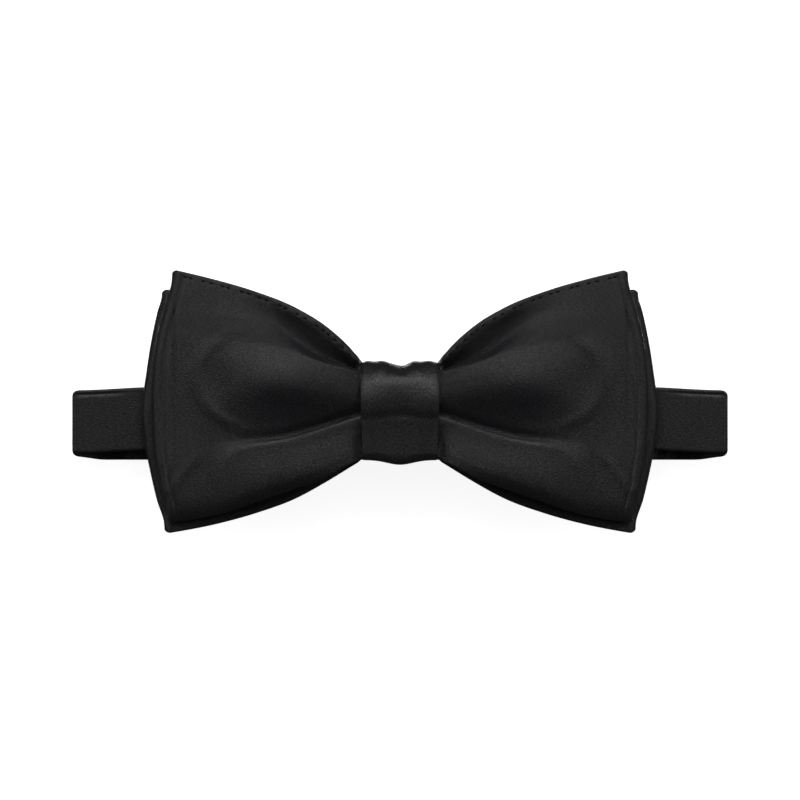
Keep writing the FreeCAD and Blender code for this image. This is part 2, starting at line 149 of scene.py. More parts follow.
def sleeve(name, middle, thick, rim=5):
    """A sewn sleeve round a middle surface, with rounded hems and closed ends.

    Each face lies half the thickness along the surface's normal, which is the cross
    product of its two gradients. Each hem is a half circle from one face to the other.
    """
    normal = unit(np.cross(np.gradient(middle, axis=0), np.gradient(middle, axis=1)))
    half = thick / 2
    top = unit(middle[:, -1] - middle[:, -2])[:, None]
    low = unit(middle[:, 0] - middle[:, 1])[:, None]
    angle = (np.arange(1, rim + 1) / (rim + 1) * np.pi)[None, :, None]
    over = middle[:, -1:] + half * (normal[:, -1:] * np.cos(angle) + top * np.sin(angle))
    under = middle[:, :1] + half * (-normal[:, :1] * np.cos(angle) + low * np.sin(angle))
    ring = np.concatenate([middle + normal * half, over,
                           (middle - normal * half)[:, ::-1], under], axis=1)
    closed = np.concatenate([ring, ring[:, :1]], axis=1)
    length = np.cumsum(distance_along(middle, 0).mean(axis=1))
    girth = np.cumsum(distance_along(closed, 1).max(axis=0))
    uv = np.stack(np.broadcast_arrays(length[:, None], girth[None, :]), -1) * MM
    return ring_mesh(name, ring, uv)


# %% Measure a finished piece
def measure(piece):
    """Prints a piece's box in millimetres, its triangles, and the volume it encloses.

    The volume is the sum over triangles of a . (b x c) / 6, which is above zero when the
    faces point outwards.
    """
    mesh = piece.data
    mesh.calc_loop_triangles()
    co = np.empty(len(mesh.vertices) * 3)
    mesh.vertices.foreach_get("co", co)
    co = co.reshape(-1, 3) / MM
    corners = np.empty(len(mesh.loop_triangles) * 3, int)
    mesh.loop_triangles.foreach_get("vertices", corners)
    a, b, c = co[corners.reshape(-1, 3)].transpose(1, 0, 2)
    volume = np.einsum("ij,ij->", a, np.cross(b, c)) / 6
    print(f"{piece.name}: {np.round(co.min(0), 1)} to {np.round(co.max(0), 1)} mm,",
          f"{len(a)} triangles, {volume:.1f} cubic mm")


# %% [markdown]
# ## The materials
# Satin is a weave of long floats, so it is nearly black where it scatters light and has a
# soft broad gloss where it mirrors it. The gloss comes from a rough specular lobe on fine
# thread bump, and the fabric's own UV map carries the threads, in metres of cloth. An
# image of cloth would be quicker, but a worked-out weave stays sharp at any distance.

# %% Small node helpers
def shader(name, color, roughness, metallic=0.0, specular=0.5):
    """A new material with one Principled shader, and its nodes and shader."""
    material = bpy.data.materials.new(name)
    material.use_nodes = True
    tree = material.node_tree
    bsdf = tree.nodes["Principled BSDF"]
    bsdf.inputs["Base Color"].default_value = (*color, 1)
    bsdf.inputs["Roughness"].default_value = roughness
    bsdf.inputs["Metallic"].default_value = metallic
    bsdf.inputs["Specular IOR Level"].default_value = specular
    return material, tree, bsdf


def node(tree, kind, **settings):
    """A new node of a kind, with its named properties and input values set."""
    made = tree.nodes.new(kind)
    for key, value in settings.items():
        if key in made.inputs:
            made.inputs[key].default_value = value
        else:
            setattr(made, key, value)
    return made


def pattern(tree, kind, place, **settings):
    """A texture node read at a place, and its grey value."""
    made = node(tree, kind, **settings)
    tree.links.new(place, made.inputs["Vector"])
    return made.outputs["Fac"]


def spread(tree, value, span, onto):
    """A value mapped in a straight line from one span to another."""
    names = ("From Min", "From Max", "To Min", "To Max")
    made = node(tree, "ShaderNodeMapRange", **dict(zip(names, (*span, *onto))))
    tree.links.new(value, made.inputs["Value"])
    return made.outputs["Result"]


def bump(tree, bsdf, height, strength, distance, on=None):
    """Relief from a grey value: distance is how far in metres white stands above black."""
    made = node(tree, "ShaderNodeBump", Strength=strength, Distance=distance)
    tree.links.new(height, made.inputs["Height"])
    if on:
        tree.links.new(on, made.inputs["Normal"])
    tree.links.new(made.outputs["Normal"], bsdf.inputs["Normal"])
    return made.outputs["Normal"]


# %% Satin
FLOATS_PER_METRE = (1500, 3800, 1)
CLOUDS_PER_METRE = 160.0
BIAS = math.radians(45)


def satin(name, color, roughness, grain=0.5, specular=0.5):
    """Black satin, cut on the bias: slanting floats, a cloudy gloss and a little fuzz.

    The floats vary the colour, the gloss and the relief, and slower clouds vary the
    roughness and add a faint ripple.
    """
    material, tree, bsdf = shader(name, color, roughness, specular=specular)
    link = tree.links.new
    uv = node(tree, "ShaderNodeUVMap", uv_map="cloth").outputs["UV"]
    turned = node(tree, "ShaderNodeMapping", Rotation=(0, 0, BIAS), Scale=FLOATS_PER_METRE)
    link(uv, turned.inputs["Vector"])
    floats = pattern(tree, "ShaderNodeTexNoise", turned.outputs["Vector"],
                     Scale=1.0, Detail=3.0, Roughness=0.7)
    cloud = pattern(tree, "ShaderNodeTexNoise", uv,
                    Scale=CLOUDS_PER_METRE, Detail=4.0, Roughness=0.7)
    link(spread(tree, cloud, (0.3, 0.7), (roughness - 0.08, roughness + 0.08)),
         bsdf.inputs["Roughness"])
    shades = node(tree, "ShaderNodeMix", data_type="RGBA")
    shades.inputs["A"].default_value = (*[0.55 * part for part in color], 1)
    shades.inputs["B"].default_value = (*[1.45 * part for part in color], 1)
    link(floats, shades.inputs["Factor"])
    link(shades.outputs["Result"], bsdf.inputs["Base Color"])
    link(spread(tree, floats, (0.32, 0.68), (0.45 * specular, 1.55 * specular)),
         bsdf.inputs["Specular IOR Level"])
    ripple = bump(tree, bsdf, cloud, 0.5, 0.00012)
    bump(tree, bsdf, floats, grain, 0.00017, on=ripple)
    bsdf.inputs["Sheen Weight"].default_value = 0.04
    bsdf.inputs["Sheen Roughness"].default_value = 0.5
    return material


bow_satin = satin("bow_satin", (0.0060, 0.0057, 0.0080), 0.39, grain=0.8)
knot_satin = satin("knot_satin", (0.0060, 0.0058, 0.0076), 0.36, grain=1.0, specular=0.65)
strap_satin = satin("strap_satin", (0.0058, 0.0055, 0.0076), 0.45, grain=0.55)
print("one float is about", round(1000 / FLOATS_PER_METRE[1], 2), "mm wide")


# %% [markdown]
# ### Interlining, thread and nickel
# The other finishes are plain ones: unbleached canvas, spun thread and nickel plate. Each
# could be a single colour, but a weave, a twist and faint smudges catch the light as the
# real ones do. They read Object coordinates, because nothing on them follows the cloth.

# %% Canvas, thread and nickel
def canvas():
    """Unbleached interlining: a plain weave, the higher of two crossed waves."""
    material, tree, bsdf = shader("canvas", (0.55, 0.52, 0.45), 0.9, specular=0.2)
    place = node(tree, "ShaderNodeTexCoord").outputs["Object"]
    both = node(tree, "ShaderNodeMath", operation="MAXIMUM")
    for index, direction in enumerate("XZ"):
        wave = pattern(tree, "ShaderNodeTexWave", place, Scale=900.0,
                       bands_direction=direction)
        tree.links.new(wave, both.inputs[index])
    bump(tree, bsdf, both.outputs["Value"], 0.5, 0.0001)
    return material


def thread():
    """Spun thread: dark, matt, with a twist along it."""
    material, tree, bsdf = shader("thread", (0.002, 0.002, 0.002), 0.75, specular=0.12)
    place = node(tree, "ShaderNodeTexCoord").outputs["Object"]
    twist = pattern(tree, "ShaderNodeTexWave", place, Scale=1500.0, Distortion=1.0,
                    bands_direction="DIAGONAL")
    bump(tree, bsdf, twist, 0.5, 0.00005)
    return material


def nickel():
    """Polished nickel plate: bright metal with faint tumbling marks and smudges."""
    material, tree, bsdf = shader("nickel", (0.66, 0.64, 0.60), 0.2, metallic=1.0)
    place = node(tree, "ShaderNodeTexCoord").outputs["Object"]
    smudge = pattern(tree, "ShaderNodeTexNoise", place, Scale=260.0, Detail=4.0)
    fine = pattern(tree, "ShaderNodeTexNoise", place, Scale=2600.0, Detail=2.0)
    tree.links.new(spread(tree, smudge, (0, 1), (0.12, 0.34)), bsdf.inputs["Roughness"])
    bump(tree, bsdf, fine, 0.15, 0.00005)
    return material


canvas_cloth = canvas()
black_thread = thread()
nickel_plate = nickel()
print("materials:", [material.name for material in (bow_satin, canvas_cloth, nickel_plate)])


# %% [markdown]
# ### Handing a piece to the frame
# Every new piece ends the same way: it gets its finish, rides on a body of the packed
# model, and stands for the plain CAD solid in its place. One helper keeps these together.

# %% Finish a piece
def finish_piece(piece, material, body=None, stands_for=()):
    """Gives a piece its material, the body it rides and the nodes it replaces."""
    piece.data.materials.clear()
    piece.data.materials.append(material)
    if body:
        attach(piece, body)
    if stands_for:
        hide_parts(*stands_for)
    measure(piece)
    return piece


# %% [markdown]
# ## The front bow
# The front bow is one flat sleeve of satin, folded into a loop: it starts behind the
# waist, turns at an outer fold, crosses the front, turns again and comes back. The knot
# gathers it, so folds fan out from the waist. A cloth simulation would find folds of its
# own, but these have known places, so they are worked out. Both wings are the same, so one
# half is worked out and mirrored.

# %% The outline of a front wing
FRONT_TOP = [(0, 11.0), (4, 11.2), (8.4, 12.6), (9.8, 14.3), (12, 16.9), (17.1, 21.6),
             (24.8, 26.4), (34.3, 30.2), (43.8, 33.0), (53.3, 35.3), (60, 36.8)]
FRONT_LOW = [(0, -7.9), (8.4, -8.0), (9.8, -8.9), (12, -10.0), (17.5, -13.0),
             (23.8, -15.3), (32.1, -18.2), (42.9, -21.8), (54.8, -23.9), (60, -24.6)]
FRONT_FOLD = [(0, 54.9), (0.14, 56.6), (0.28, 58.0), (0.43, 58.4), (0.57, 58.4),
              (0.74, 57.2), (0.86, 55.5), (1, 53.7)]
FRONT_ROUND = 0.9


def corner_round(x, end, radius):
    """How much a hem turns in at its corner: a circle of this radius that stops at end."""
    into = np.clip((np.abs(x) - end + radius) / radius, 0, 1)
    return radius * (1 - np.sqrt(1 - into ** 2))


def front_top(x):
    """Height of the front bow's top hem, x from the middle."""
    return curve(x, *FRONT_TOP) - corner_round(x, 53.8, FRONT_ROUND)


def front_low(x):
    """Height of the front bow's bottom hem."""
    return curve(x, *FRONT_LOW) + corner_round(x, 55.0, FRONT_ROUND)


def front_fold(v):
    """How far out the front bow's fold stands, v from the bottom hem to the top one."""
    return curve(v, *FRONT_FOLD)


print("front wing's height half way out:", round(float(front_top(30) - front_low(30)), 1), "mm")


# %% Where the stitches catch the top hem
near_x = 10.6 + 1.55 * np.arange(7)
pair_x = 23.3 + 4.5 * np.arange(7)
stitch_x = np.concatenate([near_x, pair_x - 0.8, pair_x + 0.8])
stitch_x = stitch_x + 0.22 * np.sin(5.0 * stitch_x)
stitch_z = front_top(stitch_x) - curve(stitch_x, (9, 1.15), (20, 0.95), (30, 0.75), (52, 0.75))
print(len(stitch_x), "stitches on each wing")


# %% [markdown]
# ### The folds of a front wing
# A swell runs out of the knot, with a valley above it and an overlapping fold below it.
# Each one is its own function, which says how far forward it moves the cloth at a place
# (x, z). The front layer is their sum. Sculpting would give the same shape, but steps and
# bells can be read, and each can be changed alone.

# %% The loft and the central swell
FRONT_LOFT = [(0, 7.6), (9, 7.9), (18, 8.6), (28, 9.2), (40, 9.1), (52, 8.7), (60, 8.4)]
SWELL_MIDDLE = [(0, 7.0), (9, 7.6), (20, 9.8), (32, 10.6), (50, 11.0)]
SWELL_WIDTH = [(0, 5.8), (9, 6.2), (20, 8.8), (32, 11.2), (50, 13.0)]
SWELL_HEIGHT = [(0, 1.6), (9, 2.4), (15, 3.3), (23, 3.5), (32, 2.7), (41, 1.3), (50, 0.2),
                (54, 0.0)]


def swell_relief(x, z):
    """The layer's slow loft, which turns back at both hems, and the swell on it.

    Across the wing the swell falls off as e to the power of minus the distance from its
    middle over its width, to the power of 2.4. A small crest is a bell on top of it.
    """
    lean = 2 * (z - front_low(x)) / (front_top(x) - front_low(x)) - 1
    crown = -(0.4 * np.abs(lean) ** 3 + 1.3 * np.maximum(-lean, 0) ** 14) * ramp(x, 10, 30)
    away = np.abs((z - curve(x, *SWELL_MIDDLE)) / curve(x, *SWELL_WIDTH))
    swell = curve(x, *SWELL_HEIGHT) * np.exp(-away ** 2.4)
    crest = 0.95 * hump(x, 29, 8) * hump(z, 9.3, 5.2)
    return curve(x, *FRONT_LOFT) + crown + swell + crest


print("loft and swell at x 25, z 10:", round(float(swell_relief(25.0, 10.0)), 1), "mm")


# %% The valley above the swell
VALLEY_START = [(0, 10.6), (9, 11.3), (13, 12.4), (17.6, 13.8), (21.4, 15.6), (26, 18.4),
                (32, 22), (44, 28)]
VALLEY_DEPTH = [(0, 1.6), (9, 2.3), (16, 3.2), (21, 3.2), (27, 2.4), (33, 1.0), (39, 0)]
VALLEY_EDGE = [(0, 0.3), (9, 0.3), (17, 0.5), (24, 1.6), (31, 3.2)]
VALLEY_WIDTH = [(0, 2.0), (9, 2.6), (12, 3.8), (18, 6.2), (25, 8.0), (31, 9.5)]
LIP_HEIGHT = [(0, 0.3), (9, 0.7), (16, 1.1), (24, 0.8), (32, 0.0)]


def valley_relief(x, z):
    """A sharp step down above the swell, a slow climb, and a lip along the top hem."""
    above = z - curve(x, *VALLEY_START)
    edge = curve(x, *VALLEY_EDGE)
    sunk = ramp(above, -edge, edge) * (1 - ramp(above, 0.2, curve(x, *VALLEY_WIDTH)))
    lip = curve(x, *LIP_HEIGHT) * hump(front_top(x) - z, 0.6, 1.7)
    return lip - curve(x, *VALLEY_DEPTH) * sunk


print("valley at x 18, z 16:", round(float(valley_relief(18.0, 16.0)), 1), "mm")


# %% The lower lobe under the overlapping fold
PLEAT_LINE = [(0, 2.4), (9, 1.1), (15, -0.8), (21.6, -2.9), (27.5, -4.4), (35.8, -5.4),
              (46, -6.2)]
LOBE_STEP = [(0, 1.0), (9, 1.3), (18, 1.7), (26, 1.9), (34, 1.8), (40, 1.6), (48, 1.1)]
LOBE_EDGE = [(0, 0.3), (24, 0.32), (31, 0.5), (37, 1.0), (44, 2.2)]
TRENCH_DEPTH = [(0, 0.4), (9, 0.5), (18, 0.6), (28, 0.5), (36, 0.2), (42, 0)]


def lobe_depth(x, z):
    """How far (x, z) is inside the lower lobe, negative outside it.

    It is the soft minimum of the depths below the fold line and inside the lobe's end.
    """
    below = curve(x, *PLEAT_LINE) - z
    inward = 43.8 - x + 0.10 * (z + 14)
    soft = 0.5 + 2.2 * ramp(x, 28, 40)
    return -soft * np.log(np.exp(-below / soft) + np.exp(-inward / soft))


def lobe_relief(x, z):
    """A step up at the lobe's outline, a slow rise inside it and a trench outside it."""
    inside = lobe_depth(x, z)
    edge = curve(x, *LOBE_EDGE)
    rise = 0.62 * ramp(inside, -edge, edge) + 0.38 * ramp(inside, 0, 9)
    hem = 0.86 + 0.14 * ramp(z - front_low(x), -0.5, 2.5)
    trench = curve(x, *TRENCH_DEPTH) * hump(inside, -1.2, 1.3)
    return curve(x, *LOBE_STEP) * rise * hem - trench


print("lobe at x 25, z -10:", round(float(lobe_relief(25.0, -10.0)), 1), "mm")


# %% Rims, dents, the rolled edge and the tuck
def rim_relief(x, z):
    """A rim where the swell dies away, as a bell of the distance from an ellipse, and a dip."""
    round_swell = np.sqrt(((x - 31) / 17.3) ** 2 + ((z - 10.0) / 12.4) ** 2)
    rim = 0.22 * hump(round_swell, 1.0, 0.10) * ramp(x, 33, 43)
    dip = 0.34 * hump(x, 43.2, 3.4) * hump(z, 9.0, 5.0)
    return rim - dip


def edge_relief(x, z):
    """A crease at the low corner, a groove inside the outer fold, a tuck beside the knot."""
    across = (z - front_low(x)) / (front_top(x) - front_low(x))
    slant = x + 0.75 * (z + 14)
    corner = 0.16 * hump(slant, 52.5, 1.4) * ramp(-z, 6, 10) * ramp(z, -24, -19)
    groove = 0.45 * hump(front_fold(across) - x, 2.0, 0.5) * ramp(x, 40, 50)
    tuck = 1.5 * hump(x, 9.0, 1.6 + 0.10 * np.abs(z)) * ramp(-z, 0.0, 7.0)
    return corner - groove - tuck


def dimples(x, z):
    """How deep the stitches pull the cloth in: a small bell at each."""
    return 0.16 * sum(hump(x, at, 0.7) * hump(z, high, 0.38)
                      for at, high in zip(stitch_x, stitch_z))


print("rim at x 48, z 10:", round(float(rim_relief(48.0, 10.0)), 2), "mm,",
      "tuck at x 9, z -7:", round(float(edge_relief(9.0, -7.0)), 2), "mm")


# %% The whole front layer
def front_relief(x, z):
    """How far forward the front layer stands at (x, z): the sum of its features.

    Under the knot it stays inside an arc, so that it doesn't come through the band.
    """
    relief = (swell_relief(x, z) + valley_relief(x, z) + lobe_relief(x, z)
              + rim_relief(x, z) + edge_relief(x, z) - dimples(x, z))
    room = 4.9 + np.sqrt(np.maximum(25.0 - np.maximum(z - 8.0, 0) ** 2, 0))
    free = ramp(x, 9.2, 10.6)
    return free * relief + (1 - free) * np.minimum(relief, room)


print("the swell stands", round(float(front_relief(25.0, 9.8)), 1), "mm forward")


# %% [markdown]
# ### From one layer to a folded loop
# Four stretches make half of the loop: the part under the knot, the wing's front, the
# outer fold and the back layer. They share their rows, so they join into one grid with no
# seam, which separate meshes would need.

# %% A folded loop
KNOT_EDGE = 9.3
FOLD_DEEP = 1.4
END_X = 0.6


def loop_half(fold, top, low, relief, back, columns, rows):
    """The right half of a folded bow, from the middle of its front to its end behind.

    Rows run at a constant share of the way from hem to hem. The fold is a half ellipse
    from the front layer to the back one. columns counts the points under the knot, along
    the front, round the fold and along the back.
    """
    under, front, bend, behind = columns
    v = np.linspace(0, 1, rows)[None, :]
    out = fold(v) - FOLD_DEEP
    x = np.concatenate([np.linspace(0, KNOT_EDGE, under, endpoint=False)[:, None] + 0 * v,
                        KNOT_EDGE + (out - KNOT_EDGE) * np.linspace(0, 1, front)[:, None]])
    z = low(x) + (top(x) - low(x)) * v
    y = -relief(x, z)
    angle = (np.arange(1, bend) / bend * np.pi)[:, None]
    edge_y, back_y = y[-1:], -back(out, z[-1:])
    bend_x = out + FOLD_DEEP * np.sin(angle)
    bend_y = (edge_y + back_y) / 2 + (edge_y - back_y) / 2 * np.cos(angle)
    bend_z = low(bend_x) + (top(bend_x) - low(bend_x)) * v
    back_x = out + (END_X - out) * np.linspace(0, 1, behind)[:, None]
    back_z = low(back_x) + (top(back_x) - low(back_x)) * v
    return np.concatenate([np.stack([x, y, z], -1), np.stack([bend_x, bend_y, bend_z], -1),
                           np.stack([back_x, -back(back_x, back_z), back_z], -1)])


def both_wings(half):
    """A half and its mirror image, as one strip from end to end."""
    mirrored = half[::-1].copy()
    mirrored[..., 0] *= -1
    return np.concatenate([mirrored[:-1], half])


# %% The front bow
BOW_THICK = 0.9
FRONT_BACK = 5.75


def front_back(x, z):
    """The front bow's back layer lies flat against the rear bow."""
    return FRONT_BACK + 0 * x + 0 * z


front_middle = both_wings(loop_half(front_fold, front_top, front_low, front_relief,
                                    front_back, columns=(26, 110, 12, 40), rows=121))
front_bow = sleeve("front_bow_cloth", front_middle, BOW_THICK)
finish_piece(front_bow, bow_satin, "bow", ["front_bow"])


# %% [markdown]
# ## The rear bow
# The rear bow is the same kind of sleeve, flatter, a little wider and set lower, so that a
# thin border of it shows outside and below the front bow. A scaled copy of the front bow
# would repeat its folds, so the same function is called with other curves.

# %% The rear bow's outline
REAR_TOP = [(0, 11.0), (4, 11.1), (8.4, 12.2), (9.8, 12.9), (17, 17.6), (26, 22.4),
            (36, 26.0), (46, 28.6), (56.2, 30.9), (62, 32.0)]
REAR_LOW = [(0, -7.9), (8.4, -8.1), (9.8, -9.4), (11.4, -10.4), (17.1, -13.9),
            (24.8, -18.1), (34.3, -21.6), (43.8, -24.2), (55.4, -26.4), (62, -27.4)]
REAR_FOLD = [(0, 55.6), (0.13, 57.5), (0.24, 58.9), (0.38, 60.4), (0.5, 61.0),
             (0.65, 60.0), (0.8, 58.7), (0.93, 57.2), (1, 56.2)]
REAR_ROUND = 1.1


def rear_top(x):
    """Height of the rear bow's top hem."""
    return curve(x, *REAR_TOP) - corner_round(x, 56.3, REAR_ROUND)


def rear_low(x):
    """Height of the rear bow's bottom hem."""
    return curve(x, *REAR_LOW) + corner_round(x, 55.7, REAR_ROUND)


def rear_fold(v):
    """How far out the rear bow's fold stands."""
    return curve(v, *REAR_FOLD)


print("border below the front bow at x 40:", round(float(front_low(40) - rear_low(40)), 1), "mm")


# %% The rear bow's two layers
def rear_across(x, z):
    """The share of the way from the bottom hem to the top one."""
    return (z - rear_low(x)) / (rear_top(x) - rear_low(x))


def rear_relief(x, z):
    """The rear bow's front layer: a slow swell, and a flare along its bottom hem."""
    flare = 0.7 * ramp(rear_low(x) + 4.5 - z, 0, 4.5) * ramp(x, 14, 24)
    return 4.0 + 0.3 * np.sin(np.pi * rear_across(x, z)) * ramp(x, 12, 34) + flare


def rear_back(x, z):
    """The rear bow's back layer, with gathers that fan out from the waist and fade.

    The gathers are the sum of two cosines across the bow, the second half as high.
    """
    turns = 2 * np.pi * rear_across(x, z)
    gathers = np.cos(3.2 * turns + 0.3 * np.pi) + 0.5 * np.cos(5.1 * turns)
    return 1.55 + 0.30 * gathers * ramp(x, 8, 13) * (1 - ramp(x, 14, 46))


rear_middle = both_wings(loop_half(rear_fold, rear_top, rear_low, rear_relief, rear_back,
                                   columns=(14, 60, 10, 70), rows=81))
rear_bow = sleeve("rear_bow_cloth", rear_middle, BOW_THICK)
finish_piece(rear_bow, bow_satin, "bow", ["rear_bow"])


# %% [markdown]
# ## The interlinings
# Each bow is stiffened by a layer of canvas between its face and its lining. It is the
# same surface, thinner and drawn in from the hems, so it stays inside the satin. A
# Solidify modifier could make layers too, but it would carry them over the hems.

# %% Interlinings from the same surfaces
LINING_THICK = 0.2


def interlining(name, middle, hem_rows, stands_for):
    """The sleeve's filling: its middle surface, coarser along it and without its hems."""
    inside = middle[1:-1:2, hem_rows:-hem_rows]
    piece = sleeve(name, inside, LINING_THICK, rim=2)
    return finish_piece(piece, canvas_cloth, "bow", [stands_for])


front_lining = interlining("front_interlining", front_middle, 5, "front_bow_interlining")
rear_lining = interlining("rear_interlining", rear_middle, 4, "rear_bow_interlining")


# %% [markdown]
# ## The knot band
# The knot is a ribbon wound once round the waist. Its front is a soft cushion above a
# crease and a flatter stretch below. The ribbon follows one rounded path seen from the
# side, and the cushion, crease and gathers are added along its front. A bent box would
# need all of them sculpted, and would lose the ribbon's even thickness.

# %% A rounded path, as evenly spaced points
def rounded_path(points, radii, step):
    """Points every step along straight runs joined by arcs, each arc tangent to its runs."""
    points = np.array(points, float)
    stations = [points[:1]]
    for before, corner, after, radius in zip(points, points[1:], points[2:], radii):
        a, b = unit(before - corner), unit(after - corner)
        turn = np.pi - np.arccos(np.clip(a @ b, -1, 1))
        reach = radius * np.tan(turn / 2)
        centre = corner + unit(a + b) * radius / np.cos(turn / 2)
        start = corner + a * reach - centre
        end = corner + b * reach - centre
        side = np.sign(start[0] * end[1] - start[1] * end[0])
        angle = np.linspace(0, turn, max(4, int(turn * radius / step) + 2)) * side
        arc = np.stack([start[0] * np.cos(angle) - start[1] * np.sin(angle),
                        start[0] * np.sin(angle) + start[1] * np.cos(angle)], -1)
        stations.append(centre + arc)
    line = np.vstack(stations + [points[-1:]])
    line = line[np.r_[True, np.linalg.norm(np.diff(line, axis=0), axis=1) > 1e-6]]
    length = np.r_[0, np.cumsum(np.linalg.norm(np.diff(line, axis=0), axis=1))]
    at = np.linspace(0, length[-1], int(length[-1] / step) + 1)
    return np.stack([np.interp(at, length, line[:, k]) for k in (0, 1)], -1)


print("a rounded corner:", len(rounded_path([(0, 0), (5, 0), (5, 5)], [1.0], 0.5)), "points")


# %% The knot's path, as (y, z) seen from the side
KNOT_THICK = 0.8
KNOT_BACK, KNOT_FRONT, LAP_BACK = 1.55, -10.9, 2.5
KNOT_TOP, KNOT_LOW = 13.75, -9.0
knot_line = rounded_path([(KNOT_BACK, 11.2), (KNOT_BACK, KNOT_LOW), (-10.2, KNOT_LOW),
                          (KNOT_FRONT, 0.0), (KNOT_FRONT, KNOT_TOP), (LAP_BACK, KNOT_TOP),
                          (LAP_BACK, 6.6)],
                         [1.0, 1.4, 20.0, 5.6, 1.2], 0.25)
print("the knot's ribbon has", len(knot_line), "stations, 0.25 mm apart")


# %% The knot's surface
def knot_front(x, z, across):
    """How far forward the knot's front stands beyond its path.

    It has a cushion, shoulders that fall back at the top corners, a crease with the
    flatter stretch below it, edges that turn back, and gathers made of cosines.
    """
    cushion = 0.75 * hump(z, 5.6 + 0.8 * hump(x, 0, 4.0), 4.6)
    shoulder = -0.9 * np.abs(across) ** 2.5 * ramp(z, 4.5, 12)
    crease_z = 0.6 + 0.9 * hump(x, 0, 4.5)
    crease = -0.10 * hump(z, crease_z, 0.9) - 0.30 * ramp(crease_z - z, -2.2, 1.2)
    crease = crease - 0.12 * hump(z, -8.3, 0.35) * ramp(np.abs(x), 1.5, 4)
    edge = -0.55 * np.abs(across) ** 14
    gathers = (0.10 * np.cos(1.35 * x + 0.6) * ramp(z, 8, 12)
               + 0.04 * np.cos(2.9 * x) * ramp(z, 9, 13)
               + 0.03 * np.cos(2.1 * x + 0.4) * ramp(-z, -3, 3))
    return cushion + shoulder + crease + edge + gathers


def knot_lift(x, y, z, across):
    """How far up the knot's top and bottom edges move: a notch, waves and a belly."""
    notch = -1.1 * hump(x, 0, 2.2) * ramp(z, 9.5, 13.6)
    belly = -1.1 * hump(x, 0, 4.2) * ramp(-z, 6.5, 9.0) * ramp(-y, -1, 2)
    wave = 0.10 * np.cos(1.7 * x + 0.9) * ramp(z, 10, 13.6)
    corners = -0.45 * np.abs(across) ** 12 * ramp(z, 12, 13.6)
    return notch + belly + wave + corners


def knot_surface(line, half_top=9.1, half_low=8.55, columns=75):
    """The band's middle surface: the path from the side, carried across the knot.

    Across goes from -1 to 1 as a sine, so points are closer together at the edges. The
    band narrows downwards.
    """
    reach = np.pi / 2 * 0.92
    across = np.sin(np.linspace(-1, 1, columns) * reach) / np.sin(reach)
    y, z = line[:, :1] + 0 * across, line[:, 1:] + 0 * across
    x = (half_low + (half_top - half_low) * ramp(z, -9, 12)) * across
    y = y - ramp(-y, 6.5, 9.8) * knot_front(x, z, across)
    return np.stack([x, y, z + knot_lift(x, y, z, across)], -1)


knot_middle = knot_surface(knot_line)
knot = sleeve("knot_band_cloth", knot_middle, KNOT_THICK)
finish_piece(knot, knot_satin, "bow", ["knot_band"])
knot_lining = sleeve("knot_lining", knot_surface(knot_line, 7.2, 6.8, 31)[2:-2:2], 0.25, rim=2)
finish_piece(knot_lining, canvas_cloth, "bow", ["knot_interlining"])


# %% [markdown]
# ## The binding thread
# Under the knot a waxed thread is wound four times round the gathered waist. It is one
# thread, so it is one path: the same rounded loop four times over, moving sideways.
# Four rings would look alike, but a ring has no beginning, and a thread has one.

# %% The wound thread
TURNS = 4
THREAD_THICK = 0.3
WAIST_BACK, WAIST_FRONT, WAIST_TOP, WAIST_LOW = -0.8, -9.85, 11.7, -8.6
one_turn = rounded_path([(WAIST_BACK, 2), (WAIST_BACK, WAIST_TOP), (WAIST_FRONT, WAIST_TOP),
                         (WAIST_FRONT, WAIST_LOW), (WAIST_BACK, WAIST_LOW), (WAIST_BACK, 1.8)],
                        [1.5, 3.0, 1.5, 1.5], 0.3)
wound = np.tile(one_turn, (TURNS, 1))
across_x = np.linspace(-2.4, 2.4, len(wound))[:, None] + np.array([[-0.08, 0, 0.08]])
binding_middle = np.stack([across_x, wound[:, :1] + 0 * across_x, wound[:, 1:] + 0 * across_x], -1)
binding = sleeve("binding_thread_wound", binding_middle, THREAD_THICK, rim=4)
finish_piece(binding, black_thread, "bow", ["waist_binding_thread"])


# %% [markdown]
# ## The neck strap
# The strap is a narrow sleeve that runs behind the bow and folds back on itself at both
# ends. Each half is one piece from the middle, round its fold and along its tail. Rather
# than straight stretches joined at the fold, one grid runs along the whole path, which is
# given as seen from above.

# %% The strap's surface
STRAP_THICK = 0.8
STRAP_WIDE = 15.0
STRAP_TOP = 8.0
STRAP_LOW = STRAP_TOP - STRAP_WIDE
DROP = 2.4
FOLD_X = 77.7


def strap_surface(path, radii, shift, rows=45, step=0.35):
    """The strap's middle surface: a path seen from above, carried up its width.

    shift gives how much lower the strap lies at each point (x, y) of its path. The front
    run has a pressed line inside its fold and another under its top edge, as bells.
    """
    line = rounded_path(path, radii, step)
    high, low = STRAP_TOP - STRAP_THICK / 2, STRAP_LOW + STRAP_THICK / 2
    lower = shift(line[:, 0], line[:, 1])[:, None]
    middle = (high + low) / 2 - lower
    shrink = 1 - corner_round(line[:, :1], FOLD_X + 0.05, 1.5) / (high - low)
    z = middle + (np.linspace(low, high, rows)[None, :] - lower - middle) * shrink
    x, y = line[:, :1] + 0 * z, line[:, 1:] + 0 * z
    under_top = middle + (high - low) / 2 * shrink - z
    pressed = (0.16 * hump(np.abs(x), FOLD_X - 0.6, 0.22)
               + 0.22 * hump(under_top, 0.75, 0.3) * ramp(np.abs(x), 62, 70))
    return np.stack([x, y + (1 - ramp(y, 0.6, 1.2)) * pressed, z], -1)


